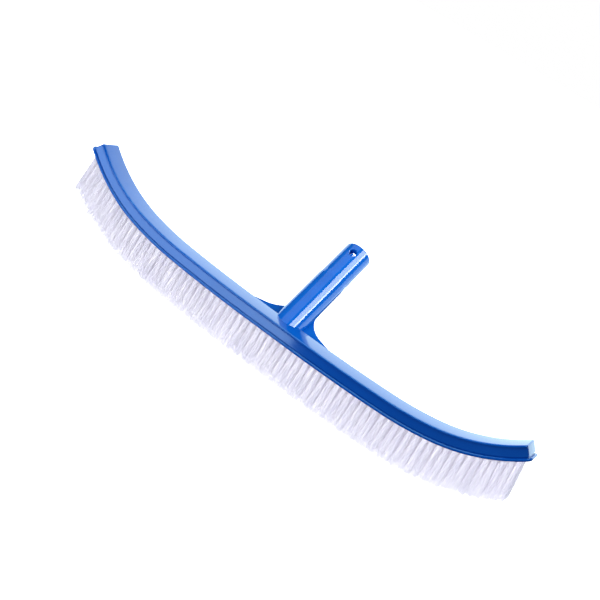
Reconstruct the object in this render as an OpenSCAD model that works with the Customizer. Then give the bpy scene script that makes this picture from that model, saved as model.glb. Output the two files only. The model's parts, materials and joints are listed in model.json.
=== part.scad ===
// Curved brush for pool walls. One blue moulding makes the bar, its two webs and the
// handle that a pole slides over. Rows of blind holes under the bar hold nylon tufts,
// each folded over a flat metal anchor. The brush stands on its tuft tips: Z is up,
// X runs along the bar, and the handle leans back towards +Y.

/* [Bar] */
// Depth of the bar from front to back, at its lip and at its cap
bar_depth = 24; // [22:0.5:30]
// Height of the bar from its underside to its flat back
bar_height = 12.7; // [12:0.1:18]
// Height of the rounded lip round the underside
lip_height = 2.6; // [2:0.1:3.4]
// Height of the rounded cap along the back
cap_height = 2.4; // [2:0.1:3.4]
// How far the side walls sit in behind the lip and the cap
wall_recess = 0.7; // [0.3:0.1:1.2]
// How much shorter the walls and cap are than the lip, at each end
end_inset = 1.8; // [1.4:0.1:4]
// Corner radius of the lip at the ends of the bar, seen from above
lip_corner = 4; // [2:0.5:6]
// Corner radius of the walls and cap at the ends of the bar, seen from above
cap_corner = 1.8; // [1.5:0.1:5]

/* [Curve of the bar] */
// Half of the straight stretch at the middle of the bar
straight_half = 22; // [10:1:40]
// Radii of the three tangent arcs, from the middle to the end
arc_radii = [1663, 300, 164]; // [120:1:2500]
// Half of the bar's length, measured along its curve
half_length = 238; // [234:0.5:240]

/* [Tufts] */
// Distance between tufts along the bar
tuft_pitch = 6.35; // [6:0.05:6.35]
// Tufts on the first arc and the straight, on each side of the one at the centre
middle_tufts = 17; // [14:1:18]
// Tufts from the centre to the end of the second arc, on each side
bend_tufts = 24; // [22:1:25]
// Tufts from the centre to the end of the bar, on each side
end_tufts = 36; // [30:1:36]
// Distance between rows
row_pitch = 6.8; // [5:0.1:7]
// Length of a tuft below the bar's underside at the middle
tuft_length = 33.5; // [25:0.5:45]
// Extra length of the last tufts, trimmed to a smooth line
end_growth = 3; // [0:0.5:5]
// Part of the bar's slope that the tufts follow
fan = 0.2; // [0:0.02:0.3]
// Radius of a tuft where it leaves its hole
tuft_root_r = 1.9; // [1.5:0.1:1.9]
// Radius of a tuft at its tip
tuft_tip_r = 2.4; // [1.9:0.1:2.5]
// Radius of a tuft hole
hole_r = 2; // [2:0.05:2.2]
// Depth of a tuft hole
hole_depth = 9; // [7:0.5:9.5]

/* [Anchors] */
// Length, thickness and height of the flat wire that a tuft is folded over
anchor_size = [3.8, 0.4, 1.6]; // [0.3:0.1:3.8]

/* [Handle] */
// Lean of the handle from upright
handle_tilt = 46; // [40:0.5:52]
// How far behind the middle of the bar the handle's axis is, level with the bar's back
handle_back = 21; // [19:0.5:24]
// Length of the handle's axis from the level of the bar's back to the mouth
handle_length = 90.7; // [80:0.1:120]
// Outer radius near the bar
root_r = 13.2; // [13:0.05:14]
// Outer radius that the pole slides over
spigot_r = 12.8; // [12:0.05:12.9]
// Distance along the axis from the level of the bar's back to the shoulder that stops the pole
shoulder_at = 51; // [40:1:60]
// Length of the shoulder's taper
shoulder_length = 4; // [2:0.5:6]
// Radius of the handle's bore
bore_r = 7; // [5.5:0.1:10.5]
// Distance along the axis from the level of the bar's back to the floor of the bore
bore_floor = 10; // [8:1:20]
// Chamfer round the handle's mouth
mouth_chamfer = 0.8; // [0.4:0.1:1.2]
// Radius of the cross hole for a pole's spring clip
clip_hole_r = 3.5; // [3:0.1:4]
// Distance of the cross hole from the mouth
clip_hole_in = 10.2; // [8:0.2:20]
// Chamfer round the cross hole
clip_chamfer = 0.7; // [0.3:0.1:1]

/* [Webs] */
// Reach of each web along the bar from the handle's axis
web_reach = 71; // [60:1:80]
// Slope of the webs, which rise from the bar's rear wall towards the handle
web_rise = 26.5; // [20:0.5:32]
// Height above the bar's underside at which the webs' upper faces meet the rear wall
web_height = 6.4; // [6:0.1:8]
// Angle between the straight stretch of a web's edge and the bar
web_taper = 16; // [12:1:20]
// Distance from the handle's axis at which the straight stretch turns into the hollow one
web_turn_at = 30.2; // [28:0.2:34]
// Radius of the hollow stretch of a web's edge
web_arc_r = 27.5; // [24:0.5:30]
// Thickness of each web
web_thickness = 3; // [2:0.2:3.2]

/* [Hidden] */

// Rows of tufts, by their distance behind the middle of the bar
front = -row_pitch;
centre = 0;
rear = row_pitch;
rows = [front, centre, rear];

// Stretches of a row, as the first and last tuft counted from the centre
left_end = [-end_tufts, -bend_tufts - 1];
left_bend = [-bend_tufts, -middle_tufts - 1];
left = [left_end[0], left_bend[1]];
middle = [-middle_tufts, middle_tufts];
right_bend = [middle_tufts + 1, bend_tufts];
right_end = [bend_tufts + 1, end_tufts];
right = [right_bend[0], right_end[1]];

// Each arc ends between two tufts, a little past half-way, because the holes lean outwards
past_half_way = 0.6;
arc_ends = [
    (middle_tufts + 0.5) * tuft_pitch + past_half_way,
    (bend_tufts + 0.5) * tuft_pitch + past_half_way,
    half_length
];
first_arc = 0;
bend_arc = 1;
end_arc = 2;

// Half of the bar's depth at its lip and cap, and at its walls
half_depth = bar_depth / 2;
wall_half_depth = half_depth - wall_recess;

// Facets in a full turn of a bar arc, and of every other round shape
sweep_fn = 720;
round_fn = 48;

// Gap between a tuft and the floor of its hole, and between an anchor and its slot
floor_gap = 0.3;
slot_gap = 0.05;
// Thickness of the folded nylon between an anchor and the end of its tuft
fold = 0.7;
// How far cutting shapes run past the surface that they cut
over = 3;
// How far the corner cylinders stand past an end, so that they cut its flat face at an angle
corner_clear = 0.02;
// How far the handle's foot runs down its axis into the bar
foot_depth = 17;

// Geometry of the bar's underside line, as [x, z] from its middle point

// Angle in degrees that a length covers on arc i
function arc_angle(i, length) = length * 180 / (PI * arc_radii[i]);

// Station where arc i starts, measured along the bar
function arc_start(i) = i == 0 ? straight_half : arc_ends[i - 1];

// Slope of the bar where arc i starts
function start_slope(i) =
    i == 0 ? 0 : start_slope(i - 1) + arc_angle(i - 1, arc_start(i) - arc_start(i - 1));

// Step from the start of arc i to a point where the slope is given
function arc_step(i, slope) =
    arc_radii[i] * [sin(slope) - sin(start_slope(i)), cos(start_slope(i)) - cos(slope)];

// Point where arc i starts
function start_point(i) =
    i == 0 ? [straight_half, 0] : start_point(i - 1) + arc_step(i - 1, start_slope(i));

// Arc that station s lies on, or -1 on the straight
function arc_at(s) =
    s <= straight_half ? -1 : s <= arc_ends[0] ? first_arc : s <= arc_ends[1] ? bend_arc : end_arc;

// Slope of the bar at station s of its right half
function slope_at(s) =
    let (i = arc_at(s)) i < 0 ? 0 : start_slope(i) + arc_angle(i, s - arc_start(i));

// Point of the underside at station s of the right half
function point_at(s) =
    let (i = arc_at(s)) i < 0 ? [s, 0] : start_point(i) + arc_step(i, slope_at(s));

// Length of the tuft at station s below the bar
function tuft_free(s) =
    tuft_length + end_growth * pow(slope_at(abs(s)) / slope_at(half_length), 2);

// Stands its children on the underside at station s, turned by a share of the slope
module at_station(s, y, share) {
    side = s < 0 ? -1 : 1;
    p = point_at(abs(s));
    translate([side * p[0], y, tuft_length + p[1]])
        rotate([0, -side * share * slope_at(abs(s)), 0])
            children();
}

// Runs a section along the straight stretch at the middle of the bar
module along_straight() {
    translate([-straight_half, 0, tuft_length])
        rotate([0, 90, 0])
            linear_extrude(height = 2 * straight_half)
                children();
}

// Runs a section along arc i of the right half, over a length
module along_arc(i, length) {
    p = start_point(i);
    translate([p[0], 0, tuft_length + p[1]])
        rotate([0, -start_slope(i), 0])
            translate([0, 0, arc_radii[i]])
                rotate([90, 90, 0])
                    rotate_extrude(angle = arc_angle(i, length), $fn = sweep_fn)
                        translate([arc_radii[i], 0])
                            children();
}

// Sections of the bar. Height above the underside runs towards -X of the drawing.

// Band with half-round front and back edges
module rounded_band(low, high) {
    r = (high - low) / 2;
    translate([-high, r - half_depth])
        square([high - low, 2 * (half_depth - r)]);
    for (side = [-1, 1])
        translate([-(low + high) / 2, side * (half_depth - r)])
            circle(r, $fn = round_fn);
}

module lip_section() {
    rounded_band(0, lip_height);
}

module upper_section() {
    translate([-bar_height + cap_height / 2, -wall_half_depth])
        square([bar_height - cap_height / 2 - lip_height / 2, 2 * wall_half_depth]);
    rounded_band(bar_height - cap_height, bar_height);
}

module bar_section() {
    lip_section();
    upper_section();
}

// Solid outside the two rounded corners of a section that ends at a station
module corner_waste(end_at, radius, outside) {
    corner = outside - radius;
    low = -over;
    high = bar_height + over;
    at_station(end_at, 0, 1)
        for (side = [0, 1])
            mirror([0, side, 0])
                translate([corner_clear - radius, corner, low])
                    difference() {
                        cube([radius + over, radius + over, high - low]);
                        translate([0, 0, -over])
                            cylinder(r = radius, h = high - low + 2 * over, $fn = round_fn);
                    }
}

// The section, or a part of it, along one arc from its start to a station
module arc_to(i, end_at) {
    along_arc(i, end_at - arc_start(i))
        children();
}

module middle_blank() {
    along_straight()
        bar_section();
    for (side = [0, 1])
        mirror([side, 0, 0])
            arc_to(first_arc, arc_ends[first_arc])
                bar_section();
}

module right_bend_blank() {
    arc_to(bend_arc, arc_ends[bend_arc])
        bar_section();
}

// The walls and the cap stop short of the lip, and all corners are rounded
module right_end_blank() {
    difference() {
        arc_to(end_arc, half_length)
            lip_section();
        corner_waste(half_length, lip_corner, half_depth);
    }
    difference() {
        arc_to(end_arc, half_length - end_inset)
            upper_section();
        corner_waste(half_length - end_inset, cap_corner, half_depth);
    }
}

// Blind holes for the tufts of one stretch of every row
module tuft_holes(stretch) {
    for (y = rows, k = [stretch[0]:stretch[1]])
        at_station(k * tuft_pitch, y, fan)
            translate([0, 0, -over])
                cylinder(r = hole_r, h = hole_depth + over, $fn = round_fn);
}

module bar_middle() {
    color("royalblue")
        difference() {
            middle_blank();
            tuft_holes(middle);
        }
}

module bar_left_bend() {
    color("royalblue")
        difference() {
            mirror([1, 0, 0])
                right_bend_blank();
            tuft_holes(left_bend);
        }
}

module bar_right_bend() {
    color("royalblue")
        difference() {
            right_bend_blank();
            tuft_holes(right_bend);
        }
}

module bar_left_end() {
    color("royalblue")
        difference() {
            mirror([1, 0, 0])
                right_end_blank();
            tuft_holes(left_end);
        }
}

module bar_right_end() {
    color("royalblue")
        difference() {
            right_end_blank();
            tuft_holes(right_end);
        }
}

// Puts its children in the handle's own frame: Z along the handle, 0 level with the bar's back
module at_handle() {
    translate([0, handle_back, tuft_length + bar_height])
        rotate([-handle_tilt, 0, 0])
            children();
}

// Everything on the bar's underside level and above
module above_underside() {
    translate([-root_r - over, -bar_depth, tuft_length])
        cube([2 * (root_r + over), bar_depth + handle_length, handle_length]);
}

// Solid foot of the handle, shaped to the bar
module handle_root() {
    color("royalblue")
        difference() {
            intersection() {
                at_handle()
                    translate([0, 0, -foot_depth])
                        cylinder(r = root_r, h = foot_depth + bore_floor, $fn = round_fn);
                above_underside();
            }
            along_straight()
                bar_section();
        }
}

// Outside of the handle from the bore's floor to the mouth
module handle_outside() {
    translate([0, 0, bore_floor])
        cylinder(r = root_r, h = shoulder_at - bore_floor, $fn = round_fn);
    translate([0, 0, shoulder_at])
        cylinder(r1 = root_r, r2 = spigot_r, h = shoulder_length, $fn = round_fn);
    translate([0, 0, shoulder_at + shoulder_length])
        cylinder(r = spigot_r, h = handle_length - mouth_chamfer - shoulder_at - shoulder_length,
            $fn = round_fn);
    translate([0, 0, handle_length - mouth_chamfer])
        cylinder(r1 = spigot_r, r2 = spigot_r - mouth_chamfer, h = mouth_chamfer, $fn = round_fn);
}

// Cross hole through both walls, with a chamfer at each outer end
module clip_hole() {
    translate([0, 0, handle_length - clip_hole_in])
        rotate([90, 0, 0]) {
            cylinder(r = clip_hole_r, h = 2 * (spigot_r + over), center = true, $fn = round_fn);
            for (side = [0, 1])
                mirror([0, 0, side])
                    translate([0, 0, spigot_r - clip_chamfer])
                        cylinder(r1 = clip_hole_r, r2 = clip_hole_r + clip_chamfer + over,
                            h = clip_chamfer + over, $fn = round_fn);
        }
}

module handle_tube() {
    color("royalblue")
        at_handle()
            difference() {
                handle_outside();
                translate([0, 0, bore_floor - over])
                    cylinder(r = bore_r, h = handle_length, $fn = round_fn);
                clip_hole();
            }
}

// Outline of the right web, seen square on: X along the bar, Y away from its rear wall
module web_outline() {
    turn = [web_turn_at, (web_reach - web_turn_at) * tan(web_taper)];
    hollow = turn + web_arc_r * [sin(web_taper), cos(web_taper)];
    difference() {
        polygon([[0, -over], [web_reach, -over], [web_reach, 0], turn, [turn[0], hollow[1]],
            [0, hollow[1]]]);
        translate(hollow)
            circle(web_arc_r, $fn = 4 * round_fn);
    }
}

// Flat plate between the handle and the rear wall of the bar, with a hollow outer edge
module web(side) {
    difference() {
        mirror([side, 0, 0])
            translate([0, wall_half_depth, tuft_length + web_height])
                rotate([web_rise, 0, 0])
                    translate([0, 0, -web_thickness])
                        linear_extrude(height = web_thickness)
                            web_outline();
        at_handle()
            translate([0, 0, -foot_depth])
                cylinder(r = root_r, h = foot_depth + handle_length, $fn = round_fn);
        middle_blank();
    }
}

module web_left() {
    color("royalblue")
        web(1);
}

module web_right() {
    color("royalblue")
        web(0);
}

// Slot or wire for an anchor, grown by a gap
module anchor_bar(gap) {
    translate([0, 0, hole_depth - floor_gap - fold - anchor_size[2] / 2])
        cube([anchor_size[0] + 2 * gap, anchor_size[1] + 2 * gap, anchor_size[2] + 2 * gap],
            center = true);
}

// One bundle of nylon: straight in its hole, and spreading towards its tip
module tuft(free) {
    difference() {
        union() {
            cylinder(r = tuft_root_r, h = hole_depth - floor_gap, $fn = round_fn);
            translate([0, 0, -free])
                cylinder(r1 = tuft_tip_r, r2 = tuft_root_r, h = free, $fn = round_fn);
        }
        anchor_bar(slot_gap);
    }
}

module tufts(y, stretch) {
    color("ghostwhite")
        for (k = [stretch[0]:stretch[1]])
            at_station(k * tuft_pitch, y, fan)
                tuft(tuft_free(k * tuft_pitch));
}

module anchors(y, stretch) {
    color("silver")
        for (k = [stretch[0]:stretch[1]])
            at_station(k * tuft_pitch, y, fan)
                anchor_bar(0);
}

bar_middle();
bar_left_bend();
bar_left_end();
bar_right_bend();
bar_right_end();
handle_root();
handle_tube();
web_left();
web_right();
tufts(front, left);  // tufts_front_left
tufts(front, middle);  // tufts_front_middle
tufts(front, right);  // tufts_front_right
tufts(centre, left);  // tufts_centre_left
tufts(centre, middle);  // tufts_centre_middle
tufts(centre, right);  // tufts_centre_right
tufts(rear, left);  // tufts_rear_left
tufts(rear, middle);  // tufts_rear_middle
tufts(rear, right);  // tufts_rear_right
anchors(front, left);  // anchors_front_left
anchors(front, middle);  // anchors_front_middle
anchors(front, right);  // anchors_front_right
anchors(centre, left);  // anchors_centre_left
anchors(centre, middle);  // anchors_centre_middle
anchors(centre, right);  // anchors_centre_right
anchors(rear, left);  // anchors_rear_left
anchors(rear, middle);  // anchors_rear_middle
anchors(rear, right);  // anchors_rear_right
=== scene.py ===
import json
import math
import random

import bmesh
import bpy
from mathutils import Matrix, Vector


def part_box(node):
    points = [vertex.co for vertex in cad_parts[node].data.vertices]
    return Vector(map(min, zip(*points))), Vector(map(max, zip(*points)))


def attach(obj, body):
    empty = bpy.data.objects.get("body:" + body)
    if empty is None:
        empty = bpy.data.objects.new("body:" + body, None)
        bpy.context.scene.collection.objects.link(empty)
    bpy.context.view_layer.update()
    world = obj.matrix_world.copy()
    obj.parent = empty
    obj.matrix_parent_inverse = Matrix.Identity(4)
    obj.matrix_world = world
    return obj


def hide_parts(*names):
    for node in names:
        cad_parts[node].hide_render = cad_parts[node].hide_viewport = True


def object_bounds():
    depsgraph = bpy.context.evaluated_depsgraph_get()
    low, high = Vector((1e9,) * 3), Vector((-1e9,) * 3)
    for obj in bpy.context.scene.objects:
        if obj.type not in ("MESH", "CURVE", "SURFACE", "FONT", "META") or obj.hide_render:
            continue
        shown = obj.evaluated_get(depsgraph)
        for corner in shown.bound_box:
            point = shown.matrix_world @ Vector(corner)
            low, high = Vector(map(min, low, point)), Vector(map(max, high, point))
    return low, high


MM = 0.001

# Camera, looking at the middle of the brush a little to the right of the handle
CAMERA_TARGET = Vector((3.5, 0.0, 70.4)) * MM
CAMERA_DISTANCE = 904.6 * MM
CAMERA_AZIMUTH = math.radians(18.56)
CAMERA_ELEVATION = math.radians(16.5)
CAMERA_ROLL = math.radians(30.21)
CAMERA_LENS = 66.48
CAMERA_SENSOR = 36
CAMERA_CLIP = (0.01, 60)

# Meshes: points closer than this are one point, and edges that turn further look sharp
MERGE_DISTANCE = 1e-7
SHARP_ANGLE = math.radians(35)

# Bar: the section's sizes, then the three tangent arcs of its underside
HALF_DEPTH = 12.0 * MM
BAR_HEIGHT = 12.7 * MM
LIP_HEIGHT = 2.6 * MM
CAP_HEIGHT = 2.4 * MM
WALL_RECESS = 0.7 * MM
END_INSET = 1.8 * MM
LIP_CORNER = 4.0 * MM
CAP_CORNER = 1.8 * MM
GROOVE_LOW = 2.3 * MM
GROOVE_WIDTH = 1.3 * MM
GROOVE_DEPTH = 0.8 * MM
STRAIGHT_HALF = 22.0 * MM
ARC_RADII = (1663.0 * MM, 300.0 * MM, 164.0 * MM)
ARC_ENDS = (111.725 * MM, 156.175 * MM, 238.0 * MM)
HALF_LENGTH = ARC_ENDS[-1]

# Bar: steps round the lip, over the groove or the cap, round a corner and along the bar
LIP_STEPS = 8
BAND_STEPS = 16
CORNER_STEPS = 8
LENGTH_STEPS = 200

# Handle: distances along its axis from the level of the bar's back
ROOT_R = 13.2 * MM
SPIGOT_R = 12.8 * MM
SHOULDER_AT = 49.0 * MM
SHOULDER_LENGTH = 8.0 * MM
FOOT_DEPTH = 17.0 * MM
MOUTH_ROUND = 1.5 * MM
BORE_ROUND = 0.4 * MM
CLIP_CHAMFER = 0.7 * MM
CUTTER_MARGIN = 3 * MM

# Handle: steps along its outline, and sides of the tube and of the clip hole
ROOT_STEPS = 40
SHOULDER_STEPS = 8
SPIGOT_STEPS = 24
MOUTH_STEPS = 8
BORE_ROUND_STEPS = 4
BORE_STEPS = 40
TUBE_SIDES = 128
CLIP_HOLE_SIDES = 64

# Webs: the sizes of their outline and plate
WEB_REACH = 71.0 * MM
WEB_RISE = math.radians(26.5)
WEB_HEIGHT = 6.4 * MM
WEB_TAPER = math.radians(16.0)
WEB_TURN_AT = 30.2 * MM
WEB_ARC_R = 27.5 * MM
WEB_THICKNESS = 3.0 * MM
WEB_INSIDE_WALL = 1.5 * MM
WEB_ROUND = 0.4 * MM
WEB_RIM_ANGLE = math.radians(60)
WEB_ARC_STEPS = 32
WEB_ROUND_STEPS = 5

# Tufts: three rows of bundles. END_GROWTH is how much longer the last ones are, and a tuft
# leans outwards by FAN times the bar's slope. A tuft with less room beside it than
# TIP_RADII_OF_ROOM is squeezed.
TUFT_PITCH = 6.35 * MM
ROWS = {"front": -6.8 * MM, "centre": 0.0, "rear": 6.8 * MM}
STRETCHES = {"left": range(-36, -17), "middle": range(-17, 18), "right": range(18, 37)}
TUFT_ROOT_R = 1.95 * MM
TUFT_TIP_R = 3.7 * MM
END_GROWTH = 3.0 * MM
FAN = 0.2
ROOT_INSIDE = 2.0 * MM
TIP_CLEARANCE = 0.02 * MM
OPENING_POWER = 1.25
TIP_RADII_OF_ROOM = 1.6

# Tufts: how much one differs from the next
LEAN_ALONG = 0.4 * MM
LEAN_ACROSS = 0.3 * MM
SPREAD = (0.88, 1.12)
TRIM = (0.0, 0.7 * MM)

# Filaments: their shape, and how much one differs from the next in its tuft
FILAMENTS = 100
FILAMENT_R = 0.15 * MM
FILAMENT_SIDES = 4
FILAMENT_STEPS = 5
FILAMENT_TIP_SHARE = 0.6
OFF_AXIS = Vector((0.3, 0.9, 0.1))
GOLDEN_ANGLE = 2.39996
ANGLE_JITTER = (-0.3, 0.3)
ROOT_JITTER = (0.94, 1.0)
TIP_JITTER = (0.8, 1.15)
RADIUS_JITTER = (0.9, 1.1)
TIP_TURN = 0.12
BOW = 0.15 * MM
UNEVEN_CUT = 0.5 * MM

# Stage: the floor, the light on it, and the fill from all round
FLOOR_HALF_SIZE = 30.0
FLOOR_SQUARES = 8
SUN_POWER = 9.0
SUN_ANGLE = math.radians(110)
SUN_TURN = (math.radians(25), 0, math.radians(18))
FILL_COLOUR = (0.28, 0.68, 1.0, 1)
FILL_STRENGTH = 0.18

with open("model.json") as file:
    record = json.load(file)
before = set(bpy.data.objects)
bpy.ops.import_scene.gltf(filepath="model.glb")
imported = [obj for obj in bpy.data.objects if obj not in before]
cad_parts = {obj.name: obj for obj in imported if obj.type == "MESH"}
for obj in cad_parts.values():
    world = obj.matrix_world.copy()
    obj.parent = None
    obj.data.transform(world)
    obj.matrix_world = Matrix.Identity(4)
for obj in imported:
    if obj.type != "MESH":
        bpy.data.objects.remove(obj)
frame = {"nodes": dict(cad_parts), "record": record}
cad_low, cad_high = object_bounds()
mounts = {m["name"]: m for m in frame["record"]["mounts"]}
rng = random.Random(7)

TIP_PLANE = mounts["tuft_tips"]["pos_m"][2]
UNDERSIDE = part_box("bar_middle")[0].z
spigot_mount = mounts["pole_spigot"]
bore_mount = mounts["handle_bore"]
clip_mount = mounts["clip_hole"]


# ---------- objects and meshes ----------

def add_object(name, data):
    """A new object in the scene for a mesh, a light or a camera."""
    o = bpy.data.objects.new(name, data)
    bpy.context.scene.collection.objects.link(o)
    return o


def collect(name, objects):
    """Puts objects in a collection of their own, beside the one they are in."""
    group = bpy.data.collections.new(name)
    for o in objects:
        group.objects.link(o)
    return group


def shade_smooth(bm):
    """Smooth faces, with an edge kept sharp where the surface turns or ends."""
    for face in bm.faces:
        face.smooth = True
    for edge in bm.edges:
        inside = len(edge.link_faces) == 2
        edge.smooth = inside and edge.calc_face_angle(0.0) < SHARP_ANGLE


def mesh_object(name, bm, material):
    """A smooth-shaded object from a bmesh, which is used up."""
    bmesh.ops.remove_doubles(bm, verts=bm.verts, dist=MERGE_DISTANCE)
    bmesh.ops.recalc_face_normals(bm, faces=bm.faces)
    shade_smooth(bm)
    mesh = bpy.data.meshes.new(name)
    bm.to_mesh(mesh)
    bm.free()
    mesh.materials.append(material)
    return add_object(name, mesh)


def apply_modifiers(o):
    """Replaces o's mesh by the one that its modifiers make, and shades it again."""
    bpy.context.view_layer.update()
    evaluated = o.evaluated_get(bpy.context.evaluated_depsgraph_get())
    mesh = bpy.data.meshes.new_from_object(evaluated)
    o.modifiers.clear()
    o.data = mesh
    bm = bmesh.new()
    bm.from_mesh(mesh)
    shade_smooth(bm)
    bm.to_mesh(mesh)
    bm.free()


def join_rings(bm, rings):
    """Quads between each closed ring of vertices and the next."""
    for low, high in zip(rings, rings[1:]):
        count = len(low)
        for i in range(count):
            j = (i + 1) % count
            bm.faces.new((low[i], low[j], high[j], high[i]))


def spin(bm, profile, sides, matrix):
    """A closed solid of revolution through (radius, height) points."""
    rings = []
    for radius, height in profile:
        ring = []
        for i in range(sides):
            turn = 2 * math.pi * i / sides
            point = Vector((radius * math.cos(turn), radius * math.sin(turn), height))
            ring.append(bm.verts.new(matrix @ point))
        rings.append(ring)
    join_rings(bm, rings)
    bm.faces.new(rings[0])
    bm.faces.new(rings[-1])


def axis_frame(origin, axis):
    """Matrix of a frame at origin, with Z along axis and X along the bar."""
    across = Vector((1, 0, 0))
    side = axis.cross(across)
    turn = Matrix((across, side, axis)).transposed()
    return Matrix.Translation(origin) @ turn.to_4x4()


# ---------- bar ----------

def underside_at(s):
    """(x, height above the underside's middle, slope) at station s of the bar."""
    side = 1 if s >= 0 else -1
    s = abs(s)
    x = min(s, STRAIGHT_HALF)
    z = 0.0
    slope = 0.0
    start = STRAIGHT_HALF
    for radius, end in zip(ARC_RADII, ARC_ENDS):
        turned = slope + max(0.0, min(s, end) - start) / radius
        x += radius * (math.sin(turned) - math.sin(slope))
        z += radius * (math.cos(slope) - math.cos(turned))
        slope = turned
        start = end
    return side * x, z, side * slope


def on_bar(s, y, n):
    """Point at station s, n above the underside and y behind the middle."""
    x, z, slope = underside_at(s)
    return Vector((x - n * math.sin(slope), y, UNDERSIDE + z + n * math.cos(slope)))


def bar_rings():
    """(height, inset at the sides, inset at the ends, corner radius) of rings up the bar."""
    rings = []
    lip_r = LIP_HEIGHT / 2
    lip_stop = math.acos(1 - WALL_RECESS / lip_r)
    for i in range(LIP_STEPS + 1):
        turn = -math.pi / 2 + (lip_stop + math.pi / 2) * i / LIP_STEPS
        inset = lip_r * (1 - math.cos(turn))
        rings.append((lip_r * (1 + math.sin(turn)), inset, inset, LIP_CORNER - inset))
    for i in range(BAND_STEPS + 1):
        height = GROOVE_LOW + GROOVE_WIDTH * i / BAND_STEPS
        depth = GROOVE_DEPTH * math.sin(math.pi * i / BAND_STEPS)
        rings.append((height, WALL_RECESS + depth, END_INSET + depth, CAP_CORNER - WALL_RECESS))
    cap_r = CAP_HEIGHT / 2
    cap_middle = BAR_HEIGHT - cap_r
    cap_start = -math.acos(1 - WALL_RECESS / cap_r)
    for i in range(BAND_STEPS + 1):
        turn = cap_start + (math.pi / 2 - cap_start) * i / BAND_STEPS
        side = cap_r * (1 - math.cos(turn))
        end = END_INSET + (side if turn > 0 else 0.0)
        rings.append((cap_middle + cap_r * math.sin(turn), side, end, CAP_CORNER - side))
    return rings


def ring_columns(half_length, corner, half_depth):
    """Stations of a ring and half its depth there, from the left end to the right."""
    left_end = []
    for i in range(CORNER_STEPS, 0, -1):
        turn = math.pi / 2 * i / CORNER_STEPS
        station = -half_length + corner * (1 - math.sin(turn))
        left_end.append((station, half_depth - corner * (1 - math.cos(turn))))
    left = -half_length + corner
    between = [(left * (1 - 2 * i / LENGTH_STEPS), half_depth) for i in range(LENGTH_STEPS + 1)]
    right_end = [(-s, y) for s, y in reversed(left_end)]
    return left_end + between + right_end


def build_bar(material):
    """The whole bar as one closed skin, ring by ring from the underside to the back."""
    bm = bmesh.new()
    sides = []
    for height, side, end, corner in bar_rings():
        columns = ring_columns(HALF_LENGTH - end, corner, HALF_DEPTH - side)
        front = [bm.verts.new(on_bar(s, -y, height)) for s, y in columns]
        back = [bm.verts.new(on_bar(s, y, height)) for s, y in columns]
        sides.append((front, back))
    join_rings(bm, [front + back[::-1] for front, back in sides])
    for front, back in (sides[0], sides[-1]):
        for i in range(len(front) - 1):
            bm.faces.new((front[i], front[i + 1], back[i + 1], back[i]))
    return mesh_object("bar", bm, material)


# ---------- handle ----------

def straight_run(radius, start, stop, steps):
    """Points of a profile from start, which is left out, to stop at one radius."""
    return [(radius, start + (stop - start) * i / steps) for i in range(1, steps + 1)]


def handle_profile(bore_r, floor, mouth):
    """(radius, height) points up the tube's outside, over its mouth and down its bore."""
    profile = [(ROOT_R, -FOOT_DEPTH)]
    profile += straight_run(ROOT_R, -FOOT_DEPTH, SHOULDER_AT, ROOT_STEPS)
    for i in range(1, SHOULDER_STEPS + 1):
        share = i / SHOULDER_STEPS
        ease = share * share * (3 - 2 * share)
        radius = ROOT_R + (SPIGOT_R - ROOT_R) * ease
        profile.append((radius, SHOULDER_AT + SHOULDER_LENGTH * share))
    stop = mouth - MOUTH_ROUND
    profile += straight_run(SPIGOT_R, SHOULDER_AT + SHOULDER_LENGTH, stop, SPIGOT_STEPS)
    for i in range(1, MOUTH_STEPS + 1):
        turn = math.pi / 2 * i / MOUTH_STEPS
        radius = SPIGOT_R - MOUTH_ROUND * (1 - math.cos(turn))
        profile.append((radius, stop + MOUTH_ROUND * math.sin(turn)))
    for i in range(BORE_ROUND_STEPS + 1):
        turn = math.pi / 2 * i / BORE_ROUND_STEPS
        radius = bore_r + BORE_ROUND * (1 - math.sin(turn))
        profile.append((radius, mouth - BORE_ROUND * (1 - math.cos(turn))))
    return profile + straight_run(bore_r, mouth - BORE_ROUND, floor, BORE_STEPS)


def cut_clip_hole(handle, material):
    """Cuts the cross hole through both walls of the handle, flared at its ends."""
    hole_r = clip_mount["dims"]["r_mm"] * MM
    reach = SPIGOT_R + CUTTER_MARGIN
    flare = SPIGOT_R - CLIP_CHAMFER
    wide = hole_r + reach - flare
    profile = [(wide, -reach), (hole_r, -flare), (hole_r, flare), (wide, reach)]
    axis = Vector(clip_mount["axis"]).normalized()
    bm = bmesh.new()
    spin(bm, profile, CLIP_HOLE_SIDES, axis_frame(Vector(clip_mount["pos_m"]), axis))
    cutter = mesh_object("clip_hole_cutter", bm, material)
    cut = handle.modifiers.new("clip_hole", "BOOLEAN")
    cut.operation = "DIFFERENCE"
    cut.solver = "EXACT"
    cut.object = cutter
    apply_modifiers(handle)
    bpy.data.objects.remove(cutter)


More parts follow.
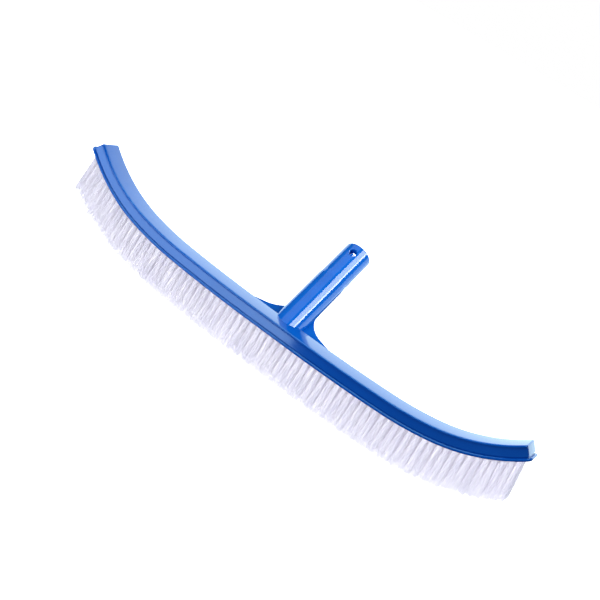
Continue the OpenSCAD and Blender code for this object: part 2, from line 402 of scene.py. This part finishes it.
def build_handle(material):
    """Tube with a shoulder, a rounded mouth, a blind bore and a flared cross hole."""
    axis = Vector(spigot_mount["axis"]).normalized()
    spigot_middle = Vector(spigot_mount["pos_m"])
    back_level = UNDERSIDE + BAR_HEIGHT
    origin = spigot_middle + axis * ((back_level - spigot_middle.z) / axis.z)
    bore_r = bore_mount["dims"]["r_mm"] * MM
    bore_middle = (Vector(bore_mount["pos_m"]) - origin).dot(axis)
    bore_half = bore_mount["dims"]["length_mm"] * MM / 2
    profile = handle_profile(bore_r, bore_middle - bore_half, bore_middle + bore_half)
    bm = bmesh.new()
    spin(bm, profile, TUBE_SIDES, axis_frame(origin, axis))
    bmesh.ops.recalc_face_normals(bm, faces=bm.faces)
    everything = bm.verts[:] + bm.edges[:] + bm.faces[:]
    cut = bmesh.ops.bisect_plane(bm, geom=everything, plane_co=(0, 0, UNDERSIDE),
                                 plane_no=(0, 0, -1), clear_outer=True)
    rim = [e for e in cut["geom_cut"] if isinstance(e, bmesh.types.BMEdge)]
    bmesh.ops.contextual_create(bm, geom=rim)
    handle = mesh_object("handle", bm, material)
    cut_clip_hole(handle, material)
    return handle


# ---------- webs ----------

def web_outline():
    """Points of the right web's outline: X along the bar, Y away from its rear wall."""
    slope = math.tan(WEB_TAPER)
    arc_start = Vector((WEB_TURN_AT, (WEB_REACH - WEB_TURN_AT) * slope))
    centre = arc_start + WEB_ARC_R * Vector((math.sin(WEB_TAPER), math.cos(WEB_TAPER)))
    points = [Vector((WEB_REACH + WEB_INSIDE_WALL / slope, -WEB_INSIDE_WALL))]
    first = -math.pi / 2 - WEB_TAPER
    last = -math.pi
    for i in range(WEB_ARC_STEPS + 1):
        angle = first + (last - first) * i / WEB_ARC_STEPS
        points.append(centre + WEB_ARC_R * Vector((math.cos(angle), math.sin(angle))))
    points.append(Vector((0.0, centre.y)))
    points.append(Vector((0.0, -WEB_INSIDE_WALL)))
    return points


def build_web(name, side, material):
    """Flat plate with a rounded hollow edge, from the bar's rear wall into the handle."""
    bm = bmesh.new()
    wall = HALF_DEPTH - WALL_RECESS
    rise = Matrix.Rotation(WEB_RISE, 4, "X")
    place = Matrix.Translation((0, wall, UNDERSIDE + WEB_HEIGHT)) @ rise
    outline = web_outline()
    top = [bm.verts.new(place @ Vector((side * p.x, p.y, 0))) for p in outline]
    low = [bm.verts.new(place @ Vector((side * p.x, p.y, -WEB_THICKNESS))) for p in outline]
    bm.faces.new(top)
    bm.faces.new(low)
    join_rings(bm, [top, low])
    bmesh.ops.recalc_face_normals(bm, faces=bm.faces)
    free_top = set(top[:-2])
    free_low = set(low[:-2])
    rims = []
    for edge in bm.edges:
        ends = set(edge.verts)
        on_rim = ends <= free_top or ends <= free_low
        if on_rim and abs(edge.calc_face_angle(0.0)) > WEB_RIM_ANGLE:
            rims.append(edge)
    bmesh.ops.bevel(bm, geom=rims, offset=WEB_ROUND, segments=WEB_ROUND_STEPS, profile=0.5,
                    affect="EDGES")
    return mesh_object(name, bm, material)


# ---------- tufts ----------

def tuft_frame(station, y):
    """(root on the underside, outward direction, along the bar, across the bar) of a tuft."""
    x, z, slope = underside_at(station)
    lean = FAN * slope
    down = Vector((math.sin(lean), 0, -math.cos(lean)))
    along = Vector((math.cos(lean), 0, math.sin(lean)))
    return Vector((x, y, UNDERSIDE + z)), down, along, Vector((0, 1, 0))


def free_length(station):
    """How far the tuft at a station reaches below the bar."""
    slope = underside_at(abs(station))[2]
    steepest = underside_at(HALF_LENGTH)[2]
    share = slope / steepest
    return UNDERSIDE - TIP_PLANE + END_GROWTH * share * share


def add_filament(bm, points, radius):
    """One nylon filament: a thin prism along points, narrower at its cut tip."""
    rings = []
    count = len(points)
    for k, p in enumerate(points):
        ahead = points[min(k + 1, count - 1)] - points[max(k - 1, 0)]
        ahead.normalize()
        side = ahead.cross(OFF_AXIS).normalized()
        other = ahead.cross(side)
        r = radius * (FILAMENT_TIP_SHARE if k == count - 1 else 1.0)
        ring = []
        for i in range(FILAMENT_SIDES):
            turn = 2 * math.pi * i / FILAMENT_SIDES
            ring.append(bm.verts.new(p + r * (math.cos(turn) * side + math.sin(turn) * other)))
        rings.append(ring)
    join_rings(bm, rings)
    bm.faces.new(rings[-1])


def add_tuft(bm, station, y):
    """A bundle of filaments that spreads from its hole to its trimmed tip.

    The outer side of a tuft near the bar's end is squeezed, so that it stays inside the
    CAD model's box.
    """
    root, down, along, across = tuft_frame(station, y)
    length = free_length(station)
    lean_along = rng.gauss(0, LEAN_ALONG)
    lean_across = rng.gauss(0, LEAN_ACROSS)
    spread = rng.uniform(*SPREAD)
    trim = rng.uniform(*TRIM)
    room = cad_high.x - abs((root + down * length).x)
    squeeze = min(1.0, room / (TIP_RADII_OF_ROOM * TUFT_TIP_R))
    for i in range(FILAMENTS):
        rho = math.sqrt((i + 0.5) / FILAMENTS)
        angle = GOLDEN_ANGLE * i + rng.uniform(*ANGLE_JITTER)
        start = TUFT_ROOT_R * rho * rng.uniform(*ROOT_JITTER)
        end = TUFT_TIP_R * spread * rho * rng.uniform(*TIP_JITTER)
        end_angle = angle + rng.gauss(0, TIP_TURN)
        bow = rng.gauss(0, BOW)
        bow_angle = rng.uniform(0, 2 * math.pi)
        cut = length - trim - abs(rng.gauss(0, UNEVEN_CUT)) - TIP_CLEARANCE
        points = []
        for k in range(FILAMENT_STEPS + 1):
            t = k / FILAMENT_STEPS
            depth = -ROOT_INSIDE + (cut + ROOT_INSIDE) * t
            opened = max(0.0, depth / length) ** OPENING_POWER
            closed = 1 - opened
            wave = bow * math.sin(math.pi * t)
            along_by = closed * start * math.cos(angle) + opened * end * math.cos(end_angle)
            across_by = closed * start * math.sin(angle) + opened * end * math.sin(end_angle)
            along_by += opened * lean_along + wave * math.cos(bow_angle)
            across_by += opened * lean_across + wave * math.sin(bow_angle)
            outward = along_by * station > 0
            if outward:
                along_by *= 1 - opened * (1 - squeeze)
            points.append(root + down * depth + along * along_by + across * across_by)
        add_filament(bm, points, FILAMENT_R * rng.uniform(*RADIUS_JITTER))


def build_tufts(row, stretch, material):
    """The tufts of one stretch of a row, in place of the same stretch's CAD node."""
    bm = bmesh.new()
    for k in STRETCHES[stretch]:
        add_tuft(bm, k * TUFT_PITCH, ROWS[row])
    for face in bm.faces:
        face.smooth = True
    name = f"filaments_{row}_{stretch}"
    mesh = bpy.data.meshes.new(name)
    bm.to_mesh(mesh)
    bm.free()
    mesh.materials.append(material)
    return add_object(name, mesh)


# ---------- materials ----------

def new_material(name):
    """A new material, its nodes and links, and its Principled shader."""
    material = bpy.data.materials.new(name)
    material.use_nodes = True
    nodes = material.node_tree.nodes
    return material, nodes, material.node_tree.links, nodes["Principled BSDF"]


def noise(nodes, links, scale, detail, stretch=(1, 1, 1)):
    """A noise texture's value, fixed to the object, at a scale in features per metre."""
    coordinates = nodes.new("ShaderNodeTexCoord").outputs["Object"]
    mapping = nodes.new("ShaderNodeMapping")
    mapping.inputs["Scale"].default_value = stretch
    links.new(coordinates, mapping.inputs["Vector"])
    texture = nodes.new("ShaderNodeTexNoise")
    texture.inputs["Scale"].default_value = scale
    texture.inputs["Detail"].default_value = detail
    links.new(mapping.outputs["Vector"], texture.inputs["Vector"])
    return texture.outputs["Fac"]


def ramp(nodes, links, value, stops):
    """A colour ramp through (position, colour) stops."""
    node = nodes.new("ShaderNodeValToRGB")
    elements = node.color_ramp.elements
    elements[0].position, elements[0].color = stops[0][0], (*stops[0][1], 1)
    elements[1].position, elements[1].color = stops[-1][0], (*stops[-1][1], 1)
    for position, colour in stops[1:-1]:
        element = elements.new(position)
        element.color = (*colour, 1)
    links.new(value, node.inputs["Fac"])
    return node.outputs["Color"]


def span(nodes, links, value, low, high):
    """Maps a 0 to 1 value to low to high."""
    node = nodes.new("ShaderNodeMapRange")
    node.inputs["To Min"].default_value = low
    node.inputs["To Max"].default_value = high
    links.new(value, node.inputs["Value"])
    return node.outputs["Result"]


def bump(nodes, links, value, strength, distance):
    """A bump node that raises the surface by value. Returns the node."""
    node = nodes.new("ShaderNodeBump")
    node.inputs["Strength"].default_value = strength
    node.inputs["Distance"].default_value = distance
    links.new(value, node.inputs["Height"])
    return node


def blue_plastic():
    """Glossy moulded plastic: even blue with faint flow marks, orange peel and fine scuffs."""
    material, nodes, links, shader = new_material("blue_plastic")
    flow = noise(nodes, links, scale=55.0, detail=2.0, stretch=(0.35, 1, 1))
    grain = noise(nodes, links, scale=1400.0, detail=2.0)
    peel = noise(nodes, links, scale=260.0, detail=2.0)
    scuffs = noise(nodes, links, scale=500.0, detail=6.0, stretch=(0.08, 1, 1))
    blues = [(0.25, (0.001, 0.122, 0.565)), (0.5, (0.002, 0.132, 0.600)),
             (0.75, (0.003, 0.142, 0.635))]
    links.new(ramp(nodes, links, flow, blues), shader.inputs["Base Color"])
    links.new(span(nodes, links, scuffs, 0.05, 0.13), shader.inputs["Roughness"])
    orange_peel = bump(nodes, links, peel, strength=0.05, distance=0.0001)
    fine_grain = bump(nodes, links, grain, strength=0.015, distance=0.00001)
    links.new(orange_peel.outputs["Normal"], fine_grain.inputs["Normal"])
    links.new(fine_grain.outputs["Normal"], shader.inputs["Normal"])
    shader.inputs["IOR"].default_value = 1.52
    shader.inputs["Coat Weight"].default_value = 0.3
    shader.inputs["Coat Roughness"].default_value = 0.04
    return material


def white_nylon():
    """Semi-clear white nylon: each filament a little different, with a soft sheen."""
    material, nodes, links, shader = new_material("white_nylon")
    strands = noise(nodes, links, scale=900.0, detail=2.0, stretch=(1, 1, 0.06))
    clumps = noise(nodes, links, scale=130.0, detail=2.0, stretch=(1, 1, 0.3))
    tint = ramp(nodes, links, strands, [(0.3, (0.83, 0.81, 0.89)), (0.7, (0.98, 0.965, 0.995))])
    shade = ramp(nodes, links, clumps, [(0.3, (0.93, 0.93, 0.955)), (0.7, (1.0, 1.0, 1.0))])
    mix = nodes.new("ShaderNodeMix")
    mix.data_type = "RGBA"
    mix.blend_type = "MULTIPLY"
    mix.inputs["Factor"].default_value = 1.0
    links.new(tint, mix.inputs["A"])
    links.new(shade, mix.inputs["B"])
    links.new(mix.outputs["Result"], shader.inputs["Base Color"])
    links.new(span(nodes, links, strands, 0.35, 0.55), shader.inputs["Roughness"])
    shader.inputs["Subsurface Weight"].default_value = 0.7
    shader.inputs["Subsurface Radius"].default_value = (1.0, 1.0, 1.0)
    shader.inputs["Subsurface Scale"].default_value = 0.0006
    through = nodes.new("ShaderNodeBsdfTranslucent")
    links.new(mix.outputs["Result"], through.inputs["Color"])
    blend = nodes.new("ShaderNodeMixShader")
    blend.inputs["Fac"].default_value = 0.3
    links.new(shader.outputs["BSDF"], blend.inputs[1])
    links.new(through.outputs["BSDF"], blend.inputs[2])
    links.new(blend.outputs["Shader"], nodes["Material Output"].inputs["Surface"])
    return material


def anchor_metal():
    """Drawn flat wire: brushed along its length."""
    material, nodes, links, shader = new_material("anchor_metal")
    lines = noise(nodes, links, scale=3000.0, detail=4.0, stretch=(0.05, 1, 1))
    greys = [(0.3, (0.50, 0.50, 0.53)), (0.7, (0.75, 0.75, 0.77))]
    links.new(ramp(nodes, links, lines, greys), shader.inputs["Base Color"])
    links.new(span(nodes, links, lines, 0.25, 0.45), shader.inputs["Roughness"])
    shader.inputs["Metallic"].default_value = 1.0
    return material


def floor_paint():
    """Matt off-white with a faint mottle."""
    material, nodes, links, shader = new_material("floor_paint")
    mottle = noise(nodes, links, scale=6.0, detail=3.0)
    whites = [(0.3, (0.90, 0.90, 0.91)), (0.7, (0.93, 0.93, 0.935))]
    links.new(ramp(nodes, links, mottle, whites), shader.inputs["Base Color"])
    shader.inputs["Roughness"].default_value = 0.8
    return material


# ---------- stage ----------

def build_floor():
    """A wide plain floor under the tuft tips, which throws no light or image on the brush."""
    bm = bmesh.new()
    bmesh.ops.create_grid(bm, x_segments=FLOOR_SQUARES, y_segments=FLOOR_SQUARES,
                          size=FLOOR_HALF_SIZE)
    floor = mesh_object("floor", bm, floor_paint())
    floor.location.z = TIP_PLANE
    floor.visible_diffuse = False
    floor.visible_glossy = False
    floor.visible_shadow = False
    return floor


def area_light(name, position, aim, size, power, receivers, colour=(1, 1, 1),
               upright=(0, 0, 1), blockers=None):
    """A rectangular soft light for some pieces, with its second side along upright."""
    light = bpy.data.lights.new(name, "AREA")
    light.shape = "RECTANGLE"
    light.size, light.size_y = size
    light.energy = power
    light.color = colour
    o = add_object(name, light)
    back = (Vector(position) - Vector(aim)).normalized()
    across = Vector(upright).cross(back).normalized()
    turn = Matrix((across, back.cross(across), back)).transposed()
    o.matrix_world = Matrix.Translation(position) @ turn.to_4x4()
    o.visible_camera = False
    o.light_linking.receiver_collection = receivers
    o.light_linking.blocker_collection = blockers


def floor_sun(receivers, blockers):
    """Even soft light over the whole floor, from the camera's side."""
    light = bpy.data.lights.new("floor_sun", "SUN")
    light.energy = SUN_POWER
    light.angle = SUN_ANGLE
    o = add_object("floor_sun", light)
    o.rotation_euler = SUN_TURN
    o.light_linking.receiver_collection = receivers
    o.light_linking.blocker_collection = blockers


def build_world():
    """White behind the floor's edge, and a dimmer fill as a light."""
    world = bpy.data.worlds.new("studio")
    world.use_nodes = True
    nodes = world.node_tree.nodes
    links = world.node_tree.links
    fill = nodes["Background"]
    fill.inputs["Color"].default_value = FILL_COLOUR
    fill.inputs["Strength"].default_value = FILL_STRENGTH
    backdrop = nodes.new("ShaderNodeBackground")
    backdrop.inputs["Color"].default_value = (1, 1, 1, 1)
    mix = nodes.new("ShaderNodeMixShader")
    links.new(nodes.new("ShaderNodeLightPath").outputs["Is Camera Ray"], mix.inputs["Fac"])
    links.new(fill.outputs["Background"], mix.inputs[1])
    links.new(backdrop.outputs["Background"], mix.inputs[2])
    links.new(mix.outputs["Shader"], nodes["World Output"].inputs["Surface"])
    bpy.context.scene.world = world


def build_camera():
    """The scene's camera, from its target, distance and three angles."""
    data = bpy.data.cameras.new("camera")
    data.lens = CAMERA_LENS
    data.sensor_width = CAMERA_SENSOR
    data.clip_start, data.clip_end = CAMERA_CLIP
    camera = add_object("camera", data)
    a, e, r = CAMERA_AZIMUTH, CAMERA_ELEVATION, CAMERA_ROLL
    ahead = Vector((-math.sin(a) * math.cos(e), math.cos(a) * math.cos(e), -math.sin(e)))
    level = Vector((math.cos(a), math.sin(a), 0))
    upright = level.cross(ahead)
    right = math.cos(r) * level + math.sin(r) * upright
    up = -math.sin(r) * level + math.cos(r) * upright
    turn = Matrix((right, up, -ahead)).transposed()
    place = CAMERA_TARGET - ahead * CAMERA_DISTANCE
    camera.matrix_world = Matrix.Translation(place) @ turn.to_4x4()
    bpy.context.scene.camera = camera


# ---------- pieces ----------

blue = blue_plastic()
nylon = white_nylon()
metal = anchor_metal()

bar = build_bar(blue)
handle = build_handle(blue)
web_left = build_web("web_plate_left", -1, blue)
web_right = build_web("web_plate_right", 1, blue)
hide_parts("bar_middle", "bar_left_bend", "bar_left_end", "bar_right_bend", "bar_right_end")
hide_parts("handle_root", "handle_tube")
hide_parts("web_left")
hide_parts("web_right")
plastic = [bar, handle, web_left, web_right]
for piece in plastic:
    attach(piece, "root")

bristles = []
for row in ROWS:
    for stretch in STRETCHES:
        piece = build_tufts(row, stretch, nylon)
        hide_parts(f"tufts_{row}_{stretch}")
        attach(piece, "root")
        bristles.append(piece)
        anchors = frame["nodes"][f"anchors_{row}_{stretch}"]
        anchors.data.materials.clear()
        anchors.data.materials.append(metal)

# ---------- floor, camera and lights ----------

floor = build_floor()
build_world()
build_camera()

plastic_group = collect("lit_plastic", plastic)
handle_group = collect("lit_handle", [handle, web_left, web_right])
tube_group = collect("lit_tube", [handle])
bar_group = collect("lit_bar", [bar])
white_group = collect("lit_white", bristles)
floor_group = collect("lit_floor", [floor])

# Where the lights aim
middle = Vector((0, 0, 0.06))
tube = Vector(clip_mount["pos_m"])

# Where the strip light is, the direction along it, and the place of its brighter edge
strip_at = tube + Vector((0.63, -0.07, 0.77))
strip_long = Vector((0.70, 0.50, -0.51))
strip_edge_at = strip_at + 0.27 * strip_long

# A place beyond the camera, in line with it
to_camera = Vector((0.305, -0.909, 0.284))
front_at = middle + to_camera * 1.6

# A pale wall behind the brush, for the plastic to mirror
area_light("back_wall", middle + Vector((-0.3, 1.4, 0.30)), middle, size=(3.2, 1.5),
           power=25.5, receivers=plastic_group, colour=(0.76, 0.96, 1.0))

# Handle and webs: a strip along the tube with a brighter edge, and softer light round it
area_light("tube_strip", strip_at, tube, size=(0.45, 0.70),
           power=7.6, receivers=handle_group, colour=(0.92, 1.0, 0.98), upright=strip_long)
area_light("tube_strip_edge", strip_edge_at, tube, size=(0.45, 0.16),
           power=1.8, receivers=handle_group, upright=strip_long)
area_light("tube_side", tube + Vector((0.80, 0.60, 0.02)), tube, size=(0.7, 0.5),
           power=2.2, receivers=handle_group, colour=(0.62, 0.85, 1.0))
area_light("tube_sky", tube + Vector((-0.4, -0.15, 1.0)), tube, size=(2.3, 0.9),
           power=4.6, receivers=tube_group)
area_light("handle_key", middle + Vector((-0.45, -1.1, 0.35)), tube, size=(0.6, 0.6),
           power=9.0, receivers=handle_group)

# Bar: light from the right and above, and a card low on the left for its front wall
area_light("bar_right", middle + Vector((1.2, 0.1, 0.5)), middle, size=(0.3, 0.62),
           power=2.0, receivers=bar_group)
area_light("overhead", middle + Vector((-0.3, -0.2, 1.2)), middle, size=(1.0, 1.0),
           power=14.5, receivers=bar_group, colour=(0.33, 0.78, 0.87))
area_light("left_card", (-0.40, -0.55, -0.12), (-0.14, 0, 0.05), size=(0.47, 0.32),
           power=2.5, receivers=bar_group, colour=(0.38, 0.62, 0.88))

# Tufts: a front light that only the plastic shades, a shadowed key, and light all round
area_light("bristle_front", front_at, middle, size=(0.35, 0.35),
           power=11.4, receivers=white_group, blockers=plastic_group)
area_light("bristle_key", middle + Vector((-0.2, -1.5, 0.3)), middle, size=(0.5, 0.5),
           power=10.5, receivers=white_group)
area_light("bristle_back", middle + Vector((0.2, 1.4, 0.5)), middle, size=(1.6, 0.8),
           power=22, receivers=white_group)
area_light("bristle_top", (-0.5, 0.2, 1.3), middle, size=(1.5, 1.5),
           power=11, receivers=white_group)
area_light("bristle_low", (0, -0.3, -0.5), middle, size=(1.4, 1.0),
           power=9, receivers=white_group)
floor_sun(floor_group, plastic_group)

scene = bpy.context.scene
scene.view_settings.view_transform = "Standard"
scene.view_settings.look = "None"
